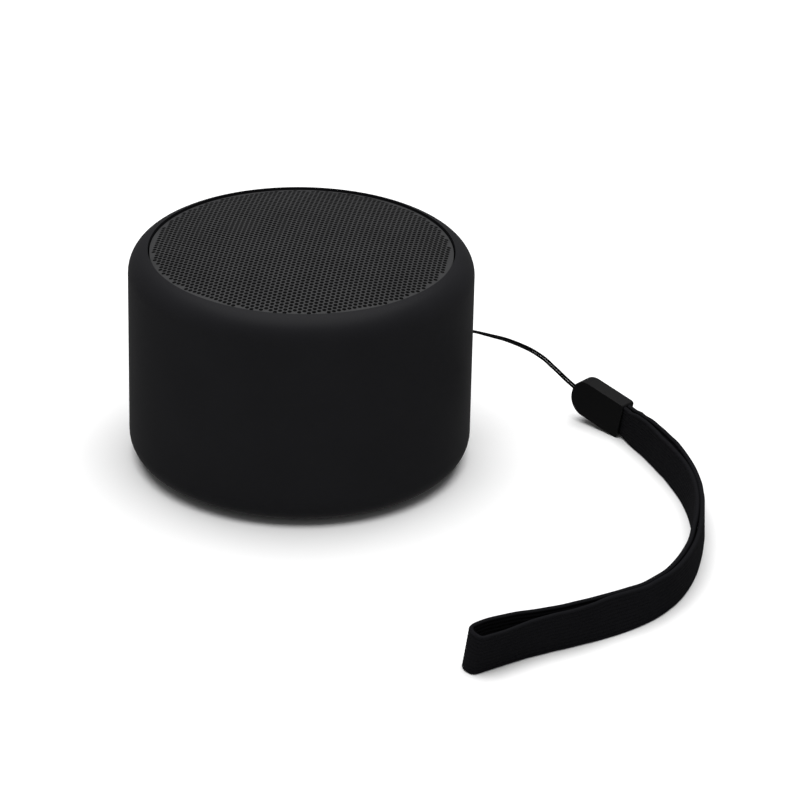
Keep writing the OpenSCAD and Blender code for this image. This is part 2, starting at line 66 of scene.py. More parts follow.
# %% Camera
CAMERA_AIM = Vector((23.4, 0.0, 13.5)) * MM
CAMERA_FAR = 0.9352
CAMERA_HEIGHT_ANGLE = math.radians(26.42)
CAMERA_LEAN = math.radians(1.32)
LENS_MM = 179.6
SENSOR_MM = 36.0


def make_camera():
    back = Vector((0.0, -math.cos(CAMERA_HEIGHT_ANGLE), math.sin(CAMERA_HEIGHT_ANGLE)))
    data = bpy.data.cameras.new("view")
    data.lens, data.sensor_width = LENS_MM, SENSOR_MM
    data.clip_start, data.clip_end = 0.01, 20.0
    camera = bpy.data.objects.new("view", data)
    bpy.context.scene.collection.objects.link(camera)
    turn = back.to_track_quat("Z", "Y").to_matrix().to_4x4() @ Matrix.Rotation(CAMERA_LEAN, 4, "Z")
    camera.matrix_world = Matrix.Translation(CAMERA_AIM + back * CAMERA_FAR) @ turn
    bpy.context.scene.camera = camera
    return camera


camera = make_camera()
print("camera at", np.round(camera.matrix_world.translation, 4).tolist())

# %% [markdown]
# Both soft pieces follow a route: a short list of points, in millimetres. The
# string's are those of the CAD model, and the webbing's run within a millimetre of its solid. A
# Catmull-Rom curve passes through every point and bends smoothly between them, and reading it off
# at equal steps gives rings of even spacing.
# The curve works on any number of columns, so a band's lean can be smoothed along with x and y.

# %% Smooth routes
def catmull_rom(points, per_span=12):
    """Points on the smooth curve through all the given ones."""
    p = np.asarray(points, float)
    p = np.vstack([2 * p[0] - p[1], p, 2 * p[-1] - p[-2]])
    t = np.linspace(0, 1, per_span, endpoint=False)[:, None]
    out = []
    for a, b, c, d in zip(p[:-3], p[1:-2], p[2:-1], p[3:]):
        out.append(b + 0.5 * t * (c - a + t * (2 * a - 5 * b + 4 * c - d + t * (3 * (b - c) + d - a))))
    return np.vstack(out + [p[-2:-1]])


def even_steps(points, step, axes=3):
    """The same route read off every step, measured along its first axes."""
    gone = np.r_[0, np.cumsum(np.linalg.norm(np.diff(points[:, :axes], axis=0), axis=1))]
    at = np.linspace(0, gone[-1], max(2, int(round(gone[-1] / step)) + 1))
    return np.column_stack([np.interp(at, gone, column) for column in points.T]), gone[-1]


def headings(points):
    """The unit direction of a route at each of its points."""
    d = np.gradient(np.asarray(points, float), axis=0)
    return d / np.linalg.norm(d, axis=1)[:, None]


# %% [markdown]
# The string is one thin braided nylon cord. It comes out of the clip, runs to the casing, turns
# round a bar moulded in the casing's side, and goes back beside itself into the clip. The pair of
# strands turns a quarter of the way round between casing and clip, and it opens at the bar.

# %% The string's route
STRING_D = 0.55
BAR_ANGLE, BAR_DIST, BAR_R, BAR_Z = math.radians(27), 38.3, 1.0, 23.3
STRING_HEADING = math.radians(13)
HALF_GAP = 0.28
BAR_CLEARANCE = 0.2
STRING_TURN = (math.radians(-26), math.radians(64))
TURNED_AT_POINT, CLOSED_AT_POINT = 9, 2
OPENING = 0.8
STRING_ROUTE = [
    (36.4, 18, 23.3), (38.8, 18.5, 23.1), (41.1, 18.9, 22.6), (43.2, 19.1, 22), (45.4, 19.3, 21.35),
    (47.6, 19.5, 20.7), (49.7, 19.65, 19.9), (51.9, 19.85, 18.9), (54.1, 20.05, 17.75),
    (56, 20.2, 16.5), (57.8, 20.35, 15.1), (59.3, 20.45, 13.6), (60.8, 20.6, 12.1),
    (62.3, 20.75, 10.5), (63.7, 20.85, 9.1), (65.8, 20.4, 7.45), (67.9, 18.6, 6.85)]
TURN_R = BAR_R + BAR_CLEARANCE + STRING_D / 2


def strand(side):
    """One strand of the doubled string, from the bar to the clip."""
    middle = np.array(STRING_ROUTE, float)
    points = []
    for i, t in enumerate(headings(middle)):
        across = np.cross([0, 0, 1], t)
        across /= np.linalg.norm(across)
        turn = np.interp(i, [0, TURNED_AT_POINT], STRING_TURN)
        gap = HALF_GAP + (TURN_R - HALF_GAP) * max(0, 1 - i / CLOSED_AT_POINT) * OPENING
        offset = math.cos(turn) * across + math.sin(turn) * np.cross(t, across)
        points.append(middle[i] + side * gap * offset)
    return points


def string_points():
    """The whole string's points: in along one strand, round the bar, and back along the other."""
    bar = BAR_DIST * np.array([math.cos(BAR_ANGLE), math.sin(BAR_ANGLE)])
    angles = STRING_HEADING + np.radians([90, 120, 150, 180, 210, 240, 270])
    turn = [(*(bar + TURN_R * np.array([math.cos(a), math.sin(a)])), BAR_Z) for a in angles]
    return np.array(strand(1)[::-1] + turn + strand(-1)) * MM


string_line, string_length = even_steps(catmull_rom(string_points()), 0.25 * MM)
print("string cut length:", round(string_length, 4), "m")

# %% [markdown]
# Every new piece ends as a linked object with its faces turned outwards, so one helper does that.
# A loft is the other tool used throughout: rings of points joined by quads and closed at both
# ends. It makes the string, the webbing, the clip's block, the tools that cut it and the key marks.

# %% From rings to pieces
def piece_from(name, work):
    """A finished bmesh as a linked piece, with every face turned to look outwards."""
    bmesh.ops.recalc_face_normals(work, faces=work.faces)
    mesh = bpy.data.meshes.new(name)
    work.to_mesh(mesh)
    work.free()
    piece = bpy.data.objects.new(name, mesh)
    bpy.context.scene.collection.objects.link(piece)
    return piece


def loft(name, rings):
    """A closed smooth skin through rings of points that all have the same number of points."""
    rings = np.asarray(rings)
    count, around = rings.shape[:2]
    corners = np.arange(count * around).reshape(count, around)
    work = bmesh.new()
    points = [work.verts.new(place) for place in rings.reshape(-1, 3)]
    a, b = corners[:-1], corners[1:]
    quads = np.stack([a, np.roll(a, -1, 1), np.roll(b, -1, 1), b], 2).reshape(-1, 4)
    for face in [*quads.tolist(), corners[0][::-1].tolist(), corners[-1].tolist()]:
        work.faces.new([points[k] for k in face]).smooth = True
    return piece_from(name, work)


print("loft ready")

# %% [markdown]
# A curve with a round bevel could draw the string, but two strands that lie side by side count as
# one two-stranded cord, and that has to be a mesh. So round rings are carried along the whole
# line, square across it, and lofted.

# %% The string
def tube_rings(line, radius, sides=12):
    """Round rings set square across a line that never runs straight up."""
    a = np.linspace(0, math.tau, sides, endpoint=False)[:, None]
    for middle, t in zip(line, headings(line)):
        side = np.cross(t, [0, 0, 1])
        side /= np.linalg.norm(side)
        yield middle + radius * (np.cos(a) * side + np.sin(a) * np.cross(side, t))


string = loft("wrist_string", list(tube_rings(string_line, STRING_D / 2 * MM)))
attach(string, "casing")
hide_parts("lanyard_string")
print("string faces:", len(string.data.polygons))

# %% [markdown]
# The strap is a single length of narrow webbing, folded in half, standing on its edge. Cloth
# simulation would be the obvious tool, but the strap is stiff, narrow and already at rest, and a
# solver would erase its ribs. So it is lofted: a rib-edged cross-section is carried along the
# route. Each route row holds the bottom edge's x and y, the distance to the inner run, and how far
# the top edge leans outwards on the outer and on the inner run. In the fold the lean is x and y.

# %% The webbing's route
WEBBING_W, WEBBING_T = 9.5, 1.1
STRAP_RUN = [
    (74.5, 13.6, 1.4, 0, 0), (76, 12.3, 1.4, 0, 0), (77.1, 11.2, 1.4, 0, 0), (78.5, 8.8, 1.4, 0, 0),
    (79.8, 6, 1.4, 0, -0.3), (81.1, 3.4, 1.4, -0.2, -0.2), (82.5, 0.8, 1.5, 0.2, 0.1),
    (83.9, -2, 1.7, 0.2, 0.2), (85.2, -4.6, 1.9, 0.2, 0.2), (86.4, -7.4, 2, 0.2, 0.2),
    (87.6, -10.3, 2, 0.3, 0.3), (88.7, -13.4, 2.1, 0.2, 0.5), (89.8, -16.6, 2.2, 0, 0.7),
    (90.7, -19.8, 2.2, -0.1, 0.8), (91.5, -23.2, 2.2, -0.2, 0.8), (92.1, -26.7, 2.2, -0.3, 0.8),
    (92.6, -30.4, 2.2, -0.4, 0.7), (92.8, -34.4, 2.1, -0.5, 0.55), (92.8, -38.4, 2, -0.5, 0.4),
    (92.1, -45.3, 1.8, -0.3, 0.3), (91.1, -51.6, 1.6, 0, 0.1), (89.8, -57.7, 1.4, 0.1, 0.1),
    (88, -63.5, 1.4, 0.1, 0.1), (85.9, -68.5, 1.4, 0.1, 0.1), (83.5, -72.7, 1.3, 0.1, 0.1),
    (80.8, -76.4, 1.3, -0.2, -0.1), (78, -79.4, 1.4, -0.1, 0), (75.2, -81.9, 1.9, -0.6, 0),
    (72.2, -84.2, 2.2, -1, 0), (69.3, -86.1, 2.35, -0.9, 0), (66.4, -87.8, 2.35, -0.2, 0),
    (63.3, -89.4, 2.35, 0.3, 0), (60.4, -91, 2.4, 0.4, 0), (57.5, -92.4, 2.6, 0.4, 0),
    (54.4, -94.1, 3.1, 0.5, 0), (51.5, -95.7, 3.8, 0.8, 0), (48.7, -97.5, 4.3, 1.2, 0),
    (45.7, -99.5, 4.7, 1.5, 0), (42.9, -101.4, 4.4, 1.4, 0)]
STRAP_FOLD = [
    (40.4, -102.9, 1.5, -0.5), (39, -101.9, 1.6, -0.3), (38.4, -100.4, 1.4, -0.3),
    (38.7, -98.9, 1, -0.2)]


def strap_rows():
    """x, y and the lean of the top edge in x and y, out along the strap and back again."""
    run = np.array(STRAP_RUN, float)
    t = headings(run[:, :2])
    left = np.column_stack([-t[:, 1], t[:, 0]])
    out = np.column_stack([run[:, :2], left * run[:, 3:4]])
    back = np.column_stack([run[:, :2] - left * run[:, 2:3], left * run[:, 4:5]])[::-1]
    return np.vstack([out, STRAP_FOLD, back])


strap_line, strap_length = even_steps(catmull_rom(strap_rows()), 0.5, axes=2)
print("webbing cut length:", round(strap_length, 1), "mm")

# %% [markdown]
# The cross-section is a flat band with soft lengthwise ribs on both faces, one for each bundle
# of threads, and a thinner rounded selvedge at each edge. Lofted, it is one closed skin. Near the
# clip the band is pinched to fit the slot, and it rises a little, because the clip is lifted.

# %% Loft the webbing
RIBS = 11
RIB_DEPTH = 0.16
FACE_STEPS = 66
PINCH = {"from_end": [0, 3.2, 8, 11], "low": [1.3, 0.65, 0.05, 0], "high": [9, 8.4, 8.7, 9.5]}


def webbing_section():
    """Pairs round the band: the share of its width and half its thickness in millimetres."""
    u = np.linspace(-1, 1, FACE_STEPS + 1)
    rib = np.abs(np.cos(math.pi * RIBS * u / 2 + math.pi * (RIBS + 1) / 2))
    edge = np.clip((1 - np.abs(u)) / 0.07, 0, 1)
    half = (WEBBING_T / 2 - RIB_DEPTH + RIB_DEPTH * rib) * (0.45 + 0.55 * np.sqrt(edge))
    face = np.column_stack([(u + 1) / 2, half])
    return np.vstack([face, (face * [1, -1])[::-1]])


def webbing_rings():
    section = webbing_section()
    t = headings(strap_line[:, :2])
    gone = np.linspace(0, strap_length, len(strap_line))
    from_end = np.minimum(gone, strap_length - gone)
    low, high = (np.interp(from_end, PINCH["from_end"], PINCH[edge]) for edge in ("low", "high"))
    for row, (tx, ty), bottom, top in zip(strap_line, t, low, high):
        height = bottom + section[:, :1] * (top - bottom)
        lean = height / WEBBING_W * row[2:4]
        flat = row[:2] + lean + section[:, 1:] * np.array([-ty, tx])
        yield np.column_stack([flat, height]) * MM


strap = loft("wrist_webbing", list(webbing_rings()))
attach(strap, "casing")
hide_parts("wrist_strap")
print("webbing faces:", len(strap.data.polygons))

# %% [markdown]
# The clip is a small moulded block: a flat plate with a round nose, standing on its long edge,
# with a slot at its square end that grips the webbing and a hole in its nose for the string. Its
# outline is swept through its thickness, slot and hole are cut with booleans, and a bevel rounds
# the edges by a third of a millimetre. The clip's nose is lifted by the springy string.

# %% The clip
CLIP_LEN, CLIP_H, CLIP_T = 15.3, 9.1, 4.0
CLIP_AT, CLIP_HEADING, CLIP_PITCH = (76.3, 11.1, -0.1), math.radians(-41.8), math.radians(11.4)
NOSE_R, MOUTH_R = 4.15, 0.7
SLOT_DEEP, SLOT_W, SLOT_H = 5.0, 2.7, 7.7
HOLE_DEEP, STRING_HOLE_R = 5.0, 0.75
CLIP_EDGE_R = 0.35
TOOL_OVERSHOOT = 2.0


def arc(centre, radius, start, end, steps):
    """Points on an arc, angles in degrees."""
    a = np.radians(np.linspace(start, end, steps))
    return np.column_stack([centre[0] + radius * np.cos(a), centre[1] + radius * np.sin(a)])


def clip_outline():
    """The clip seen from its side, from its nose at -CLIP_LEN to its mouth at 0."""
    nose, mouth = NOSE_R - CLIP_LEN, -MOUTH_R
    return np.vstack([
        arc((nose, CLIP_H - NOSE_R), NOSE_R, 90, 180, 13), arc((nose, NOSE_R), NOSE_R, 180, 270, 13),
        arc((mouth, MOUTH_R), MOUTH_R, -90, 0, 7), arc((mouth, CLIP_H - MOUTH_R), MOUTH_R, 0, 90, 7)])


def prism(name, outline, low, high):
    """An outline in x and z, swept along y from low to high."""
    rings = [np.column_stack([outline[:, 0], np.full(len(outline), y), outline[:, 1]]) for y in (low, high)]
    return loft(name, rings)


def apply_modifiers(piece):
    """The piece's mesh with its modifiers worked in."""
    bpy.context.view_layer.update()
    shape = piece.evaluated_get(bpy.context.evaluated_depsgraph_get())
    mesh = bpy.data.meshes.new_from_object(shape)
    piece.modifiers.clear()
    piece.data = mesh
    return piece


def cut_out(piece, cutter):
    """The cutter's shape taken out of the piece."""
    tool = piece.modifiers.new("cut", "BOOLEAN")
    tool.operation, tool.solver, tool.object = "DIFFERENCE", "EXACT", cutter
    apply_modifiers(piece)
    bpy.data.objects.remove(cutter)
    return piece


def round_edges(piece, width, segments=3, angle=40):
    """Sharp edges rounded by a bevel of that width."""
    bevel = piece.modifiers.new("round", "BEVEL")
    bevel.width, bevel.segments = width, segments
    bevel.limit_method, bevel.angle_limit = "ANGLE", math.radians(angle)
    bevel.harden_normals = True
    return apply_modifiers(piece)


def make_clip():
    clip = prism("strap_clip", clip_outline(), -CLIP_T / 2, CLIP_T / 2)
    low, high = CLIP_H / 2 - SLOT_H / 2, CLIP_H / 2 + SLOT_H / 2
    mouth = np.array([(-SLOT_DEEP, low), (TOOL_OVERSHOOT, low), (TOOL_OVERSHOOT, high),
                      (-SLOT_DEEP, high)])
    cut_out(clip, prism("slot", mouth, -SLOT_W / 2, SLOT_W / 2))
    circle = arc((0, CLIP_H / 2), STRING_HOLE_R, 0, 345, 24)
    hole_ends = (-CLIP_LEN - TOOL_OVERSHOOT, -CLIP_LEN + HOLE_DEEP)
    hole = [np.insert(circle, 0, x, axis=1) for x in hole_ends]
    cut_out(clip, loft("string_hole", hole))
    round_edges(clip, CLIP_EDGE_R)
    turn = Matrix.Rotation(CLIP_HEADING, 4, "Z") @ Matrix.Rotation(CLIP_PITCH, 4, "Y")
    clip.data.transform(Matrix.Translation(CLIP_AT) @ turn)
    clip.data.transform(Matrix.Scale(MM, 4))
    return clip


clip = make_clip()
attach(clip, "casing")
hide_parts("cord_clip")
print("clip faces:", len(clip.data.polygons))

# %% [markdown]
# With the clip made, the doubled string's middle line is measured, from the bar along the route of
# the two strands to its end inside the clip. The webbing is a sheet that was folded by hand and
# rests on the floor. Its flat width is the 10 mm that such webbing is sold by, half a millimetre
# more than it is drawn.

# %% The doubled string's middle line
bar_middle = (BAR_DIST * math.cos(BAR_ANGLE), BAR_DIST * math.sin(BAR_ANGLE), BAR_Z)
pair_line, pair_length = even_steps(catmull_rom([bar_middle, *STRING_ROUTE]) * MM, 0.25 * MM)
print("doubled string:", round(pair_length, 4), "m")

# %% [markdown]
# Shader maths reads best as plain expressions. Wire wraps a node's output and turns + and * into
# Math nodes, whichever side the plain number stands on. Finish holds one material and adds any
# other node with one method: its type, its settings, and the values or wires of its sockets.
# Everything is driven by object coordinates, which are metres in the model's own frame, so a
# pattern's scale is one over its real size.

# %% Wires and finishes
class Wire:
    def __init__(self, finish, socket):
        self.finish, self.socket = finish, socket

    def maths(self, operation, *values):
        return self.finish.add("Math", {"operation": operation}, dict(enumerate(values)))

    def __add__(self, other):
        return self.maths("ADD", self, other)

    def __mul__(self, other):
        return self.maths("MULTIPLY", self, other)

    __radd__, __rmul__ = __add__, __mul__

    def sine(self):
        return self.maths("SINE", self)

    def above(self, edge):
        return self.maths("GREATER_THAN", self, edge)


class Finish:
    def __init__(self, name):
        self.material = bpy.data.materials.new(name)
        self.material.use_nodes = True
        self.tree = self.material.node_tree
        self.tree.nodes.clear()
        self.place = self.add("TexCoord", out=3)

    def add(self, kind, settings=None, sockets=None, out=0):
        node = self.tree.nodes.new("ShaderNode" + kind)
        for key, value in (settings or {}).items():
            setattr(node, key, value)
        for key, value in (sockets or {}).items():
            if isinstance(value, Wire):
                self.tree.links.new(value.socket, node.inputs[key])
            else:
                node.inputs[key].default_value = value
        return Wire(self, node.outputs[out])

    def noise(self, size, detail=2.0, place=None):
        """Soft mottling whose patches are about size metres across, from 0 to 1."""
        sockets = {"Vector": place or self.place, "Scale": 1 / size, "Detail": detail}
        return self.add("TexNoise", None, sockets)

    def stretched(self, x, y, z):
        return self.add("VectorMath", {"operation": "MULTIPLY"}, {0: self.place, 1: (x, y, z)})

    def axis(self, which):
        return self.add("SeparateXYZ", None, {0: self.place}, out=which)

    def blend(self, first, second, share):
        return self.add("Mix", {"data_type": "RGBA"}, {0: share, 6: first, 7: second}, out=2)

    def bump(self, height, depth):
        return self.add("Bump", None, {"Height": height, "Distance": depth})

    def surface(self, colour, roughness, normal=None, **constants):
        """Ends the material in a Principled surface and returns it."""
        sockets = {"Base Color": colour, "Roughness": roughness, **constants}
        if normal:
            sockets["Normal"] = normal
        skin = self.add("BsdfPrincipled", None, sockets)
        self.add_output(skin)
        return self.material

    def add_output(self, skin):
        node = self.tree.nodes.new("ShaderNodeOutputMaterial")
        self.tree.links.new(skin.socket, node.inputs["Surface"])


def tone(colour, times=1.0):
    """A colour made lighter or darker, with its alpha."""
    return (*(min(1.0, c * times) for c in colour[:3]), 1.0)


print("shader helpers ready")

# %% [markdown]
# Most of this object is black, so the finishes differ in how they scatter light. Soft-touch paint
# has a very fine even grain and hardly any gloss. Moulded plastic is smoother, with faint flow
# marks. Rubber is dull and slightly uneven. Each function below makes one kind of finish from a
# few numbers, so pieces of one kind share a recipe and not a colour.

# %% Black moulded finishes
def soft_touch(name, colour, roughness=0.5, gloss=0.2):
    f = Finish(name)
    grain = f.noise(0.16 * MM, 3)
    smudge = f.noise(14 * MM, 4)
    shade = f.blend(tone(colour, 1.2), tone(colour, 1.6), smudge)
    rough = roughness - 0.06 + 0.12 * smudge
    return f.surface(shade, rough, f.bump(grain, 0.012 * MM), **{"Specular IOR Level": gloss})


def moulded(name, colour, roughness=0.38, gloss=0.35, shade_by=1.0):
    f = Finish(name)
    flow = f.noise(1.0, 3, f.stretched(60, 60, 400))
    pores = f.noise(0.3 * MM, 2)
    shade = f.blend(tone(colour, 0.9 * shade_by), tone(colour, 1.2 * shade_by), flow)
    rough = roughness - 0.05 + 0.1 * flow
    return f.surface(shade, rough, f.bump(pores, 0.008 * MM), **{"Specular IOR Level": gloss})


def rubber(name, colour, roughness=0.62, gloss=0.25):
    f = Finish(name)
    pores = f.noise(0.22 * MM, 4)
    bloom = f.noise(5 * MM, 3)
    shade = f.blend(tone(colour, 0.85), tone(colour, 1.5), bloom)
    rough = roughness - 0.08 + 0.16 * bloom
    return f.surface(shade, rough, f.bump(pores, 0.02 * MM), **{"Specular IOR Level": gloss})


print("black finishes ready")

# %% [markdown]
# Sheet metal is either painted or plated. Painted sheet has a slight orange peel. Plated parts
# carry fine scratches, made by stretching noise along one axis. Cloth is drawn as two crossed
# sets of threads: a sine wave along each direction gives the threads, and their product gives
# the over-and-under. Webbing adds the long ribs that its mesh already has.

# %% Metal, cloth and string
def painted(name, colour, roughness=0.42, gloss=0.4, shade_by=1.0):
    f = Finish(name)
    peel = f.noise(0.35 * MM, 3)
    wear = f.noise(9 * MM, 4)
    shade = f.blend(tone(colour, 0.8 * shade_by), tone(colour, 1.3 * shade_by), wear)
    rough = roughness - 0.07 + 0.14 * wear
    return f.surface(shade, rough, f.bump(peel, 0.02 * MM), **{"Specular IOR Level": gloss})


def plated(name, colour, roughness=0.3):
    f = Finish(name)
    lines = f.noise(1.0, 4, f.stretched(300, 300, 9000))
    stain = f.noise(6 * MM, 3)
    shade = f.blend(tone(colour, 0.75), tone(colour, 1.15), stain)
    rough = roughness + 0.15 * lines
    return f.surface(shade, rough, f.bump(lines, 0.004 * MM), Metallic=1.0)


def cloth(name, colour, thread, depth=0.05, gloss=0.15):
    """Plain weave with threads that far apart, in millimetres."""
    f = Finish(name)
    turn = math.tau / (thread * MM)
    weave = (f.axis(0) * turn).sine() * (f.axis(1) * turn).sine()
    fuzz = f.noise(thread * 2 * MM, 4)
    shade = f.blend(tone(colour, 0.6), tone(colour, 1.5), weave * 0.4 + fuzz * 0.6)
    return f.surface(shade, 0.85, f.bump(weave + fuzz, depth * MM), **{"Specular IOR Level": gloss})


def webbing_cloth(name, colour, pick=0.55, depth=0.05):
    """Ribbed webbing: short picks across each rib, offset from one rib to the next."""
    f = Finish(name)
    along = f.axis(0) + f.axis(1) * 0.6
    ribs = (f.axis(2) * (math.pi * RIBS / (WEBBING_W * MM))).sine()
    picks = (along * (math.tau / (pick * MM)) + ribs * 2).sine()
    fuzz = f.noise(0.25 * MM, 5)
    worn = f.noise(12 * MM, 3)
    shade = f.blend(tone(colour, 0.7), tone(colour, 1.6), fuzz * 0.6 + worn * 0.4)
    height = picks * 0.5 + fuzz
    return f.surface(shade, 0.8, f.bump(height, depth * MM), **{"Specular IOR Level": 0.05})


def braid(name, colour):
    f = Finish(name)
    lay = (f.axis(0) * (math.tau / (0.9 * MM)) + f.axis(2) * (math.tau / (0.7 * MM))).sine()
    fuzz = f.noise(0.12 * MM, 3)
    shade = f.blend(tone(colour, 0.3), tone(colour, 0.9), fuzz)
    return f.surface(shade, 0.6, f.bump(lay + fuzz, 0.05 * MM), **{"Specular IOR Level": 0.03})


print("metal and cloth finishes ready")

# %% [markdown]
# The inside has its own small set: solder mask with raised copper tracks under it, grainy paper
# pulp and foam, coloured wire, a wound copper coil and a clear light pipe. A pair of wires shares
# one piece, and which side of the middle a point lies on picks its colour.

# %% Inside finishes
def solder_mask(name, colour):
    f = Finish(name)
    cells = f.add("TexVoronoi", {"feature": "DISTANCE_TO_EDGE", "distance": "CHEBYCHEV"},
                  {"Vector": f.place, "Scale": 1 / (3 * MM)})
    tracks = cells.above(0.08)
    shade = f.blend(tone(colour, 1.9), tone(colour), tracks)
    return f.surface(shade, 0.3, f.bump(tracks, -0.02 * MM), **{"Coat Weight": 0.4})


def grainy(name, colour, size=0.6, roughness=0.8, depth=0.06):
    """Paper, foam and sintered stone: uneven grains of one colour, sized in millimetres."""
    f = Finish(name)
    grains = f.noise(size * MM, 5)
    shade = f.blend(tone(colour, 0.6), tone(colour, 1.5), grains)
    return f.surface(shade, roughness, f.bump(grains, depth * MM), **{"Specular IOR Level": 0.25})


def wire_pair(name, colour, second=(0.02, 0.02, 0.022)):
    f = Finish(name)
    side = f.axis(1).above(0.0)
    scuff = f.noise(2 * MM, 3)
    shade = f.blend(f.blend(tone(colour), tone(second), side), tone(second), scuff * 0.3)
    return f.surface(shade, 0.35 + 0.1 * scuff, f.bump(scuff, 0.01 * MM))


def winding(name, colour):
    f = Finish(name)
    turns = (f.axis(2) * (math.tau / (0.25 * MM))).sine()
    shade = f.blend(tone(colour, 0.6), tone(colour, 1.3), turns * 0.5 + 0.5)
    return f.surface(shade, 0.28, f.bump(turns, 0.05 * MM), Metallic=0.9)


def clear(name, colour):
    f = Finish(name)
    haze = f.noise(0.8 * MM, 2)
    return f.surface(tone(colour), 0.08 + 0.1 * haze, None, **{"Transmission Weight": 0.85, "IOR": 1.49})


print("inside finishes ready")

# %% [markdown]
# The record lists one material slot for each kind of stuff, with its base colour. A table from
# slot to recipe paints every CAD node and every new piece of that slot in one pass, so a colour
# is stated once, in the record, and only the recipe is chosen here.

# %% A finish for every slot
RECIPES = {
    "casing_skin": soft_touch, "grille_sheet": painted, "seal_foam": grainy, "acoustic_cloth": cloth,
    "inner_plastic": moulded, "seal_rubber": rubber, "screw_steel": plated, "pressed_steel": painted,
    "cone_paper": grainy, "copper_winding": winding, "spider_cloth": cloth, "plated_steel": plated,
    "ferrite": grainy, "terminal_board": plated, "wire_sleeve": wire_pair, "circuit_board": solder_mask,
    "chip_black": moulded, "socket_nylon": moulded, "flap_rubber": rubber, "key_rubber": rubber,
    "light_pipe": clear, "led_chip": moulded, "ribbon_film": moulded, "battery_wrap": moulded,
    "foot_rubber": rubber, "nylon_string": braid, "clip_plastic": moulded, "webbing": webbing_cloth}
EXTRA = {
    "acoustic_cloth": {"thread": 0.3, "gloss": 0.0}, "spider_cloth": {"thread": 0.5},
    "casing_skin": {"roughness": 0.46, "gloss": 0.05},
    "clip_plastic": {"roughness": 0.5, "gloss": 0.12, "shade_by": 0.6},
    "grille_sheet": {"roughness": 0.45, "gloss": 0.1, "shade_by": 1.1}, "flap_rubber": {"gloss": 0.1},
    "key_rubber": {"gloss": 0.1}, "foot_rubber": {"gloss": 0.1},
    "cone_paper": {"size": 1.2}, "ferrite": {"size": 0.3, "roughness": 0.55}}


def make_finishes():
    made = {}
    for slot in frame["record"]["materials"]:
        name = slot["slot"]
        made[name] = RECIPES[name](name, tuple(slot["base_color"][:3]), **EXTRA.get(name, {}))
    return made


FINISHES = make_finishes()
SLOT_OF = {row["node"]: row["material_slot"] for row in frame["record"]["subparts"]}


def paint(piece, slot):
    """Gives a piece the one finish of its slot."""
    piece.data.materials.clear()
    piece.data.materials.append(FINISHES[slot])
    return piece


for node, piece in frame["nodes"].items():
    paint(piece, SLOT_OF[node])
for piece, slot in ((string, "nylon_string"), (strap, "webbing"), (clip, "clip_plastic")):
    paint(piece, slot)
print("finishes:", len(FINISHES), "painted nodes:", len(frame["nodes"]))

# %% [markdown]
# The grille is punched sheet: round holes on a triangular grid, pressed into a shallow dome. A
# boolean with thousands of cutters would take minutes, and a transparent pattern would leave no
# real holes. So the sheet is built from the holes outwards: each hole gets a six-sided cell whose
# corners it shares with its neighbours, the margin up to the rim is filled, and the flat sheet is
# then thickened and lifted onto the dome. The sheet's width and height come from the CAD part.

# %% Grid of holes
HOLE_PITCH, HOLE_R = 1.242, 0.49
GRID_TURN = math.radians(83.6)
HOLE_SIDES = 12
RIM_STEPS = 240
rim_low, rim_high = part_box("grille")
GRILLE_R = rim_high.x / MM
GRILLE_T = 0.45
SKIRT_T = 0.8
MARGIN = 0.15
DOME_TOP = rim_high.z / MM
DOME_RISE = 3.0
SKIRT_Z = rim_low.z / MM


def hole_centres():
    """Centres of the holes whose whole cell fits inside the rim's margin."""
    one = HOLE_PITCH * np.array([math.cos(GRID_TURN), math.sin(GRID_TURN)])
    two = HOLE_PITCH * np.array([math.cos(GRID_TURN + math.pi / 3), math.sin(GRID_TURN + math.pi / 3)])
    reach = int(GRILLE_R / HOLE_PITCH * 1.3) + 2
    i, j = np.mgrid[-reach:reach + 1, -reach:reach + 1]
    centres = i.reshape(-1, 1) * one + j.reshape(-1, 1) * two
    return centres[np.hypot(*centres.T) < GRILLE_R - MARGIN - HOLE_PITCH / 2]


centres = hole_centres()
print("holes:", len(centres))

# %% [markdown]
# Each cell is a ring of eighteen triangles between six corners and a twelve-sided hole. Corners
# of neighbouring cells lie in the same places, so welding points that coincide makes one sheet.
# The open outer border of the cells and the rim's circle are then joined by filling the gap
# between the two loops with triangles.

# %% Punch the sheet
def cell_triangles(first_corner, first_hole):
    """Triangles of one cell, from the numbers of its first corner and first hole point."""
    for k in range(6):
        a, b = first_corner + k, first_corner + (k + 1) % 6
        h = [first_hole + (2 * k + n) % HOLE_SIDES for n in range(3)]
        yield from ((a, h[1], h[0]), (a, b, h[1]), (b, h[2], h[1]))


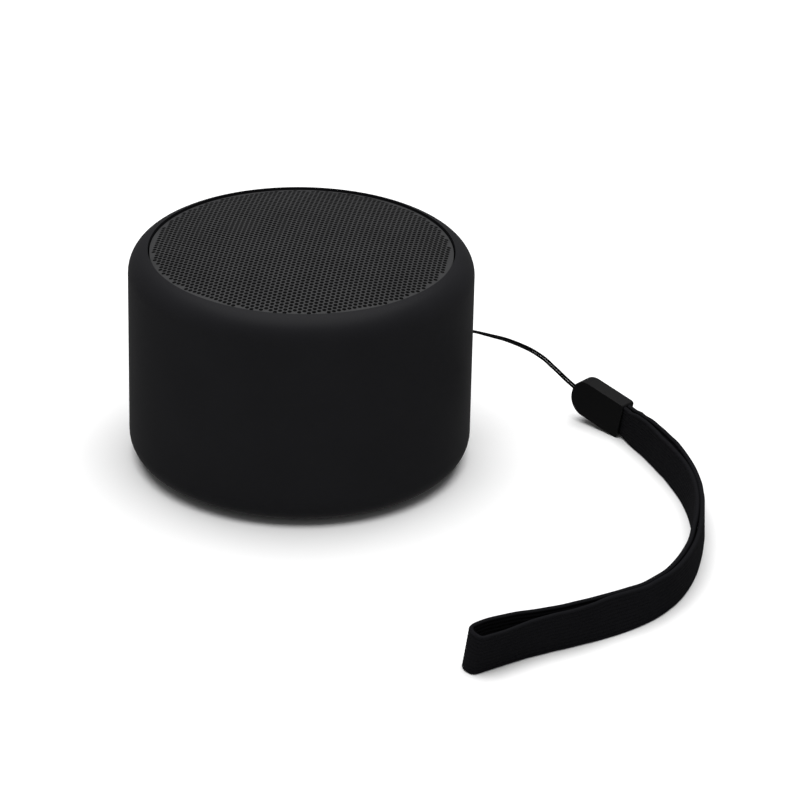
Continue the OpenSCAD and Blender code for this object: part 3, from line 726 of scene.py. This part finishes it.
def punched_sheet():
    corner_a = GRID_TURN + math.pi / 6 + np.arange(6) * math.pi / 3
    hole_a = GRID_TURN + math.pi / 6 + np.arange(HOLE_SIDES) * math.tau / HOLE_SIDES
    corner = HOLE_PITCH / math.sqrt(3) * np.column_stack([np.cos(corner_a), np.sin(corner_a)])
    hole = HOLE_R * np.column_stack([np.cos(hole_a), np.sin(hole_a)])
    work = bmesh.new()
    for centre in centres:
        verts = [work.verts.new((*(centre + p), 0)) for p in np.vstack([corner, hole])]
        for triangle in cell_triangles(0, 6):
            work.faces.new([verts[i] for i in triangle])
    bmesh.ops.remove_doubles(work, verts=work.verts, dist=HOLE_PITCH * 0.02)
    border = [e for e in work.edges if e.is_boundary and min(
        np.hypot(*(centres - np.array(e.verts[0].co.xy)).T)) > HOLE_R * 1.2]
    a = np.linspace(0, math.tau, RIM_STEPS, endpoint=False)
    rim = [work.verts.new((GRILLE_R * math.cos(t), GRILLE_R * math.sin(t), 0)) for t in a]
    loop = [work.edges.new((rim[i], rim[(i + 1) % len(rim)])) for i in range(len(rim))]
    bmesh.ops.triangle_fill(work, edges=border + loop, use_beauty=True, use_dissolve=False)
    return work


sheet = punched_sheet()
print("sheet faces:", len(sheet.faces))

# %% [markdown]
# Thickening is an extrusion of all faces downwards, which also makes the walls of the holes.
# Lifting onto the dome is one formula: the height falls with the square of the distance from the
# middle. The skirt is a second piece: a short ring spun round under the sheet's edge, which rests
# on the foam ring.

# %% Thicken, dome and skirt
def make_grille(work):
    bottom = bmesh.ops.extrude_face_region(work, geom=list(work.faces))
    moved = [g for g in bottom["geom"] if isinstance(g, bmesh.types.BMVert)]
    bmesh.ops.translate(work, verts=moved, vec=(0, 0, -GRILLE_T))
    for vert in work.verts:
        r = vert.co.xy.length
        vert.co.z += DOME_TOP - DOME_RISE * (r / GRILLE_R) ** 2
    bmesh.ops.scale(work, verts=work.verts, vec=(MM, MM, MM))
    return piece_from("grille_perforated", work)


def make_skirt():
    """The turned-down rim of the grille: a short closed ring under its edge."""
    top = DOME_TOP - DOME_RISE - 0.02
    inner = GRILLE_R - SKIRT_T
    profile = [(GRILLE_R, top), (GRILLE_R, SKIRT_Z + 0.2), (GRILLE_R - 0.2, SKIRT_Z), (inner, SKIRT_Z),
               (inner, top - 0.4)]
    work = bmesh.new()
    first = [work.verts.new((r * MM, 0, z * MM)) for r, z in profile]
    edges = [work.edges.new((first[i], first[(i + 1) % len(first)])) for i in range(len(first))]
    bmesh.ops.spin(work, geom=edges, cent=(0, 0, 0), axis=(0, 0, 1), angle=math.tau,
                   steps=RIM_STEPS, use_merge=True)
    for face in work.faces:
        face.smooth = True
    return piece_from("grille_skirt", work)


grille = make_grille(sheet)
skirt = make_skirt()
for piece in (grille, skirt):
    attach(piece, "casing")
    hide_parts("grille")
    paint(piece, "grille_sheet")
print("grille faces:", len(grille.data.polygons))

# %% [markdown]
# Each rubber key carries a raised mark, moulded in one with it: a ring with a bar for power, a
# minus, a triangle with two bars for play and pause, and a plus. They stand a seventh of a
# millimetre proud. They are drawn as plain outlines, swept outwards, set on the key's face along
# the casing's radius, and they ride on the key's own body, so they move when it is pressed. Their
# rubber is a paler one, moulded in a second shot, so that they can be read.

# %% Key marks
KEY_FACE_R = 39.75
MARK_RAISE, MARK_ROOT = 0.15, 0.1
STROKE = 0.42


def bar(x, z, width, height):
    """The corners of an upright rectangle round (x, z)."""
    return np.array([(x - width / 2, z - height / 2), (x + width / 2, z - height / 2),
                     (x + width / 2, z + height / 2), (x - width / 2, z + height / 2)])


def cross_outline(size, stroke):
    a, b = size / 2, stroke / 2
    quarter = np.array([(b, -a), (b, -b), (a, -b)])
    turns = [np.array([(math.cos(t), math.sin(t)), (-math.sin(t), math.cos(t))])
             for t in np.arange(4) * math.pi / 2]
    return np.vstack([quarter @ turn for turn in turns])


MARKS = {
    "power": [np.vstack([arc((0, 0), 1.25, 125, 415, 30), arc((0, 0), 1.25 - STROKE, 415, 125, 30)]),
              bar(0, 0.95, STROKE, 1.4)],
    "minus": [bar(0, 0, 2.4, STROKE)],
    "play": [np.array([(1.5, -1.05), (1.5, 1.05), (-0.15, 0)]), bar(-0.65, 0, STROKE, 2.1),
             bar(-1.4, 0, STROKE, 2.1)],
    "plus": [cross_outline(2.4, STROKE)]}


def make_mark(name, outlines):
    low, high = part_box(name + "_button")
    x, z = (low.x + high.x) / 2 / MM, (low.z + high.z) / 2 / MM
    work = bmesh.new()
    for outline in outlines:
        part = prism(name, outline + (0, z), KEY_FACE_R - MARK_ROOT, KEY_FACE_R + MARK_RAISE)
        work.from_mesh(part.data)
        bpy.data.objects.remove(part)
    turn = Matrix.Rotation(-math.asin(x / KEY_FACE_R), 4, "Z")
    bmesh.ops.transform(work, matrix=Matrix.Scale(MM, 4) @ turn, verts=work.verts)
    mark = piece_from(name + "_mark", work)
    mark.data.shade_flat()
    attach(mark, name + "_key")
    mark.data.materials.append(mark_rubber)
    return mark


mark_rubber = rubber("mark_rubber", (0.16, 0.16, 0.16))
marks = [make_mark(name, outlines) for name, outlines in MARKS.items()]
print("marks:", [mark.name for mark in marks])

# %% [markdown]
# The floor and the light belong to the studio and not to the speaker. A wide pale floor lies
# under everything. One big soft box hangs above and does most of the work: it whitens the floor
# and brushes the casing's shoulder. The sky stays dim, so that the black stays black. The floor
# is kept out of reflections, as a dark table would be: a white one would shine in the soft black
# casing's sides, which turn away from the eye and mirror what lies beside them.

# %% Floor and light
FLOOR_REACH = 3.0
SKY_STRENGTH = 0.22
BOX_PLACE, BOX_SIDE, BOX_POWER = Vector((0.0, 0.1, 1.3)), 1.5, 30.0


def make_floor():
    work = bmesh.new()
    bmesh.ops.create_grid(work, x_segments=8, y_segments=8, size=FLOOR_REACH)
    floor = piece_from("floor", work)
    f = Finish("pale_floor")
    pale = f.blend((0.88, 0.88, 0.88, 1), (0.9, 0.9, 0.9, 1), f.noise(0.4, 2))
    floor.data.materials.append(f.surface(pale, 0.9, None, **{"Specular IOR Level": 0.0}))
    floor.visible_glossy = False
    return floor


def make_soft_box():
    light = bpy.data.lights.new("soft_box", "AREA")
    light.shape, light.size, light.energy = "SQUARE", BOX_SIDE, BOX_POWER
    box = bpy.data.objects.new("soft_box", light)
    bpy.context.scene.collection.objects.link(box)
    facing = BOX_PLACE.to_track_quat("Z", "Y").to_matrix().to_4x4()
    box.matrix_world = Matrix.Translation(BOX_PLACE) @ facing
    return box


def make_sky():
    world = bpy.data.worlds.new("sky")
    world.use_nodes = True
    background = world.node_tree.nodes["Background"]
    background.inputs["Color"].default_value = (1, 1, 1, 1)
    background.inputs["Strength"].default_value = SKY_STRENGTH
    bpy.context.scene.world = world
    return world


floor = make_floor()
sky = make_sky()
soft_box = make_soft_box()
bpy.context.scene.view_settings.view_transform = "Standard"
print("studio:", [thing.name for thing in (floor, sky, soft_box)])
